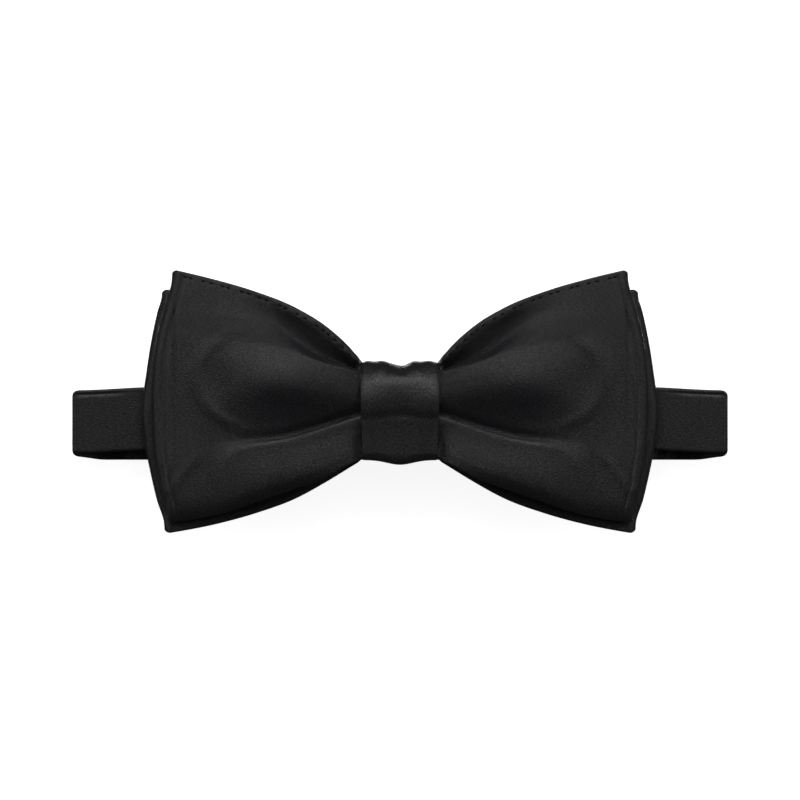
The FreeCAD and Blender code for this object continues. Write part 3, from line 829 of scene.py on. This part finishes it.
# %% How low the strap lies
def folded_shift(x, y):
    """The strap starts to drop before its fold and has dropped fully just past it."""
    x = np.abs(x)
    ahead = 0.75 * ramp(x, 58, 77)
    behind = DROP - 0.75 * ramp(x, 70, 77.5)
    return ahead + (behind - ahead) * ramp(y, 0.6, 2.0)


def full_drop(x, y):
    """A stretch that lies behind, all at the lower height."""
    return DROP + 0 * x


def strap(name, path, radii, shift, body=None, stands_for=()):
    """A piece of the strap in satin."""
    piece = sleeve(name, strap_surface(path, radii, shift), STRAP_THICK, rim=4)
    return finish_piece(piece, strap_satin, body, stands_for)


print("drop ahead of and behind the fold:", np.round(folded_shift(75.0, np.array([0, 3])), 2), "mm")


# %% Both halves of the strap, as (x, y) seen from above
FRONT_Y, FOLD_Y, TAIL_Y, RETURN_Y, FLAP_Y = 0.4, 2.1, 5.45, 2.6, 4.5
STEP_OUT, STEP_IN = 73, 66
HOOK_X, EYE_X, TURN_START = 32.125, 55.075, 27.7
FOLD_ROUND, STEP_ROUND, METAL_ROUND = 0.85, 4, 1.425
left_half = strap("neck_strap_left",
                  [(0, FRONT_Y), (-FOLD_X, FRONT_Y), (-FOLD_X, FOLD_Y), (-STEP_OUT, FOLD_Y),
                   (-STEP_IN, TAIL_Y), (HOOK_X, TAIL_Y), (HOOK_X, RETURN_Y),
                   (TURN_START, RETURN_Y)],
                  [FOLD_ROUND, FOLD_ROUND, STEP_ROUND, STEP_ROUND, METAL_ROUND, METAL_ROUND],
                  folded_shift,
                  stands_for=["strap_left_fold", "strap_left_tail", "strap_hook_turn"])
right_half = strap("neck_strap_right",
                   [(0, FRONT_Y), (FOLD_X, FRONT_Y), (FOLD_X, FOLD_Y), (STEP_OUT, FOLD_Y),
                    (STEP_IN, TAIL_Y), (EYE_X, TAIL_Y), (EYE_X, RETURN_Y), (58, RETURN_Y),
                    (61.2, 4.63), (64.5, 4.63)],
                   [FOLD_ROUND, FOLD_ROUND, STEP_ROUND, STEP_ROUND, METAL_ROUND, METAL_ROUND,
                    1, 1],
                   folded_shift,
                   stands_for=["strap_front_run", "strap_right_fold", "strap_right_tail",
                               "strap_eye_loop"])
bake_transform(left_half)
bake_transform(right_half)


# %% [markdown]
# The strap's other layer comes back from the hook to the slider. When the slider runs
# along the tail this layer gets shorter. Here it rides on the left tail and lies flat, and
# the looped end rides on the slider.

# %% The return layer and the end round the slider
RETURN_END, BAR_X, FLAP_TURN = -40.5, -50.0, -51.75
return_layer = strap("strap_return_cloth",
                     [(TURN_START, RETURN_Y), (RETURN_END + 0.6, RETURN_Y)], [],
                     full_drop, "left_tail", ["strap_left_return"])
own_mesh(return_layer)
end_loop = strap("strap_end_cloth",
                 [(RETURN_END, RETURN_Y), (FLAP_TURN, RETURN_Y), (FLAP_TURN, FLAP_Y),
                  (BAR_X + 1.8, FLAP_Y), (BAR_X + 4, 3.42), (BAR_X + 8, 3.42)],
                 [0.95, 0.95, 1, 1], full_drop, "slider", ["strap_end_loop"])


# %% [markdown]
# ## Stitches
# Small dark stitches catch the face cloth just inside the top hems, and dense bar tacks
# hold the strap's looped ends. Each stitch is a short bead of thread. Bevelled curves would
# do, but all the beads of a row in one mesh are quicker to make and to move.

# %% Beads of thread
def beads(name, centres, directions, long, radius, body, stands_for):
    """A row of stitches: each is a spindle round its own direction.

    Its radius follows the square root of sine, so both its ends are blunt.
    """
    around, steps = 8, 7
    t = np.linspace(0, 1, steps)
    angle = np.linspace(0, 2 * np.pi, around, endpoint=False)
    d = unit(np.array(directions, float))
    side = unit(np.cross(d, [0.31, 0.87, 0.38]))
    other = np.cross(d, side)
    girth = radius * np.sqrt(np.sin(np.pi * np.clip(t, 0.02, 0.98)))
    circle = (side[:, None, None] * np.cos(angle)[None, None, :, None]
              + other[:, None, None] * np.sin(angle)[None, None, :, None])
    line = d[:, None, None] * (long * (t - 0.5))[None, :, None, None]
    middle = np.array(centres, float)[:, None, None]
    points = middle + line + circle * girth[None, :, None, None]
    i, j = np.meshgrid(np.arange(steps - 1), np.arange(around), indexing="ij")
    after = (j + 1) % around
    one = np.stack([i * around + j, i * around + after,
                    (i + 1) * around + after, (i + 1) * around + j], -1).reshape(-1, 4)
    offset = np.arange(len(points))[:, None] * steps * around
    sides = (one[None] + offset[..., None]).reshape(-1, 4).tolist()
    first = (np.arange(around)[::-1][None] + offset).tolist()
    last = (np.arange(around)[None] + (steps - 1) * around + offset).tolist()
    piece = new_piece(name, points, sides + first + last)
    return finish_piece(piece, black_thread, body, stands_for)


# %% Pick stitches along the top hems
PICK_LONG, PICK_RADIUS = 1.2, 0.2
MIRROR = [-1, 1, 1]
stitch_y = -front_relief(stitch_x, stitch_z) - BOW_THICK / 2
climb = front_top(stitch_x + 0.1) - front_top(stitch_x - 0.1)
stitch_at = np.stack([stitch_x, stitch_y, stitch_z], -1)
stitch_to = np.stack([0.2 + 0 * climb, 0 * climb, climb], -1)
beads("pick_stitch_right", stitch_at, stitch_to, PICK_LONG, PICK_RADIUS, "bow",
      ["pick_stitches_right"])
beads("pick_stitch_left", stitch_at * MIRROR, stitch_to * MIRROR, PICK_LONG, PICK_RADIUS,
      "bow", ["pick_stitches_left"])


# %% Bar tacks and the knot's tack stitches
TACK_LOW, TACK_HIGH, TACK_COUNT, TACK_SLANT = -7.9, 4.1, 26, 0.35


def bar_tack(name, x, near, far, body, stands_for):
    """Two columns of beads, one on each face of the sewn layers, slanting in turn."""
    z = np.linspace(TACK_LOW, TACK_HIGH, TACK_COUNT)
    slant = np.where(np.arange(TACK_COUNT) % 2 == 0, TACK_SLANT, -TACK_SLANT)
    at = np.concatenate([np.stack([x + 0 * z, y + 0 * z, z], -1) for y in (near, far)])
    to = np.concatenate([np.stack([1 + 0 * z, 0 * z, slant], -1)] * 2)
    return beads(name, at, to, 1.5, 0.16, body, stands_for)


bar_tack("slider_tack_thread", BAR_X + 6.5, RETURN_Y - 0.42, 3.84, "slider", ["slider_bar_tack"])
bar_tack("eye_tack_thread", 63.0, 4.21, TAIL_Y + 0.42, "right_tail", ["eye_bar_tack"])
tack_x = np.linspace(-6.4, 6.4, 7)
tack_at = np.stack([tack_x, 0 * tack_x + 2.92, 0 * tack_x + 8.4], -1)
beads("knot_tack_thread", tack_at, np.tile([1.0, 0, 0.25], (7, 1)), 1.3, 0.15, "bow",
      ["knot_tack_stitches"])


# %% [markdown]
# ## The pieces that keep their CAD shape
# The metal and the strap's stiffening have their true shape, so they only get a finish.
# New meshes could only repeat them, and might miss the strap that runs through them.

# %% Finishes on CAD nodes
for name, finish in (("slider", nickel_plate), ("hook", nickel_plate), ("eye", nickel_plate),
                     ("strap_interlining", canvas_cloth)):
    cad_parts[name].data.materials.clear()
    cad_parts[name].data.materials.append(finish)
    print(name, "is finished in", finish.name)


# %% [markdown]
# ## Light, backdrop and camera
# The tie hangs in front of a white board that takes its soft shadow. One large soft light
# stands above, and one on each side, so gloss runs along every fold that faces them. Two
# more behind the board light the back of the tie. Black satin shows little but its gloss,
# so a few large lights in a dim world shape it better than an even bright sky would.

# %% The backdrop and the floor
def board(name, points, color, glow):
    """One flat quad of matt paint with some light of its own. From behind it is clear."""
    piece = new_piece(name, np.array(points, float), [(0, 1, 2, 3)])
    material, tree, bsdf = shader(name, color, 0.9, specular=0.0)
    bsdf.inputs["Emission Color"].default_value = (1, 1, 1, 1)
    bsdf.inputs["Emission Strength"].default_value = glow
    clear = node(tree, "ShaderNodeBsdfTransparent")
    side = node(tree, "ShaderNodeNewGeometry")
    mix = node(tree, "ShaderNodeMixShader")
    tree.links.new(side.outputs["Backfacing"], mix.inputs[0])
    tree.links.new(bsdf.outputs[0], mix.inputs[1])
    tree.links.new(clear.outputs[0], mix.inputs[2])
    tree.links.new(mix.outputs[0], tree.nodes["Material Output"].inputs["Surface"])
    piece.data.materials.append(material)
    piece.visible_diffuse = piece.visible_glossy = False
    return piece


WALL_X, WALL_Y, WALL_LOW, WALL_TOP = 120, 9.5, -85, 75
FLOOR_X, FLOOR_Z = 3000, -250
wall = board("backdrop", [(-WALL_X, WALL_Y, WALL_LOW), (WALL_X, WALL_Y, WALL_LOW),
                          (WALL_X, WALL_Y, WALL_TOP), (-WALL_X, WALL_Y, WALL_TOP)],
             (0.93, 0.93, 0.93), 0.88)
wall.visible_shadow = False
board("floor", [(-FLOOR_X, -FLOOR_X, FLOOR_Z), (FLOOR_X, -FLOOR_X, FLOOR_Z),
                (FLOOR_X, FLOOR_X, FLOOR_Z), (-FLOOR_X, FLOOR_X, FLOOR_Z)],
      (0.9, 0.9, 0.9), 0.75)


# %% Lights
def soft_light(name, place, size, power):
    """A rectangle of light, width by height in metres, that faces the tie."""
    data = bpy.data.lights.new(name, "AREA")
    data.shape = "RECTANGLE"
    data.size, data.size_y = size
    data.energy = power
    lamp = bpy.data.objects.new(name, data)
    bpy.context.scene.collection.objects.link(lamp)
    lamp.location = place
    lamp.rotation_euler = (-Vector(place)).to_track_quat("-Z", "Y").to_euler()
    lamp.visible_camera = False


soft_light("key_above", (0, -0.85, 0.85), (0.9, 0.5), 7.2)
soft_light("front_fill", (0, -1.5, 0.45), (1.2, 0.5), 0.9)
for side, sign in (("left", -1), ("right", 1)):
    soft_light(f"side_{side}", (sign * 1.0, -0.5, 0.25), (0.4, 0.8), 1.6)
    soft_light(f"back_{side}", (sign * 0.3, 1.2, 0.25), (0.4, 0.6), 3.5)


# %% A world that looks white and lights little
WORLD_LIGHT, WORLD_SEEN = 0.06, 1.05
world = bpy.data.worlds.new("studio")
bpy.context.scene.world = world
world.use_nodes = True
background = world.node_tree.nodes["Background"]
background.inputs["Color"].default_value = (1, 1, 1, 1)
seen = node(world.node_tree, "ShaderNodeLightPath").outputs["Is Camera Ray"]
strength = spread(world.node_tree, seen, (0, 1), (WORLD_LIGHT, WORLD_SEEN))
world.node_tree.links.new(strength, background.inputs["Strength"])


# %% [markdown]
# ### The camera
# It stands straight in front and far away, with a long lens. A near camera would make the
# middle of the tie look larger than its ends.

# %% Camera
CAMERA_FAR = 2.5
CAMERA_HIGH = 0.00488
VIEW_WIDE = 0.1905
SENSOR = 36
camera_data = bpy.data.cameras.new("camera")
camera_data.sensor_width = SENSOR
camera_data.lens = SENSOR * CAMERA_FAR / VIEW_WIDE
camera = bpy.data.objects.new("camera", camera_data)
camera.location = (0, -CAMERA_FAR, CAMERA_HIGH)
camera.rotation_euler = (math.pi / 2, 0, 0)
bpy.context.scene.collection.objects.link(camera)
bpy.context.scene.camera = camera
bpy.context.scene.view_settings.view_transform = "Standard"
print("lens:", round(camera_data.lens, 1), "mm")
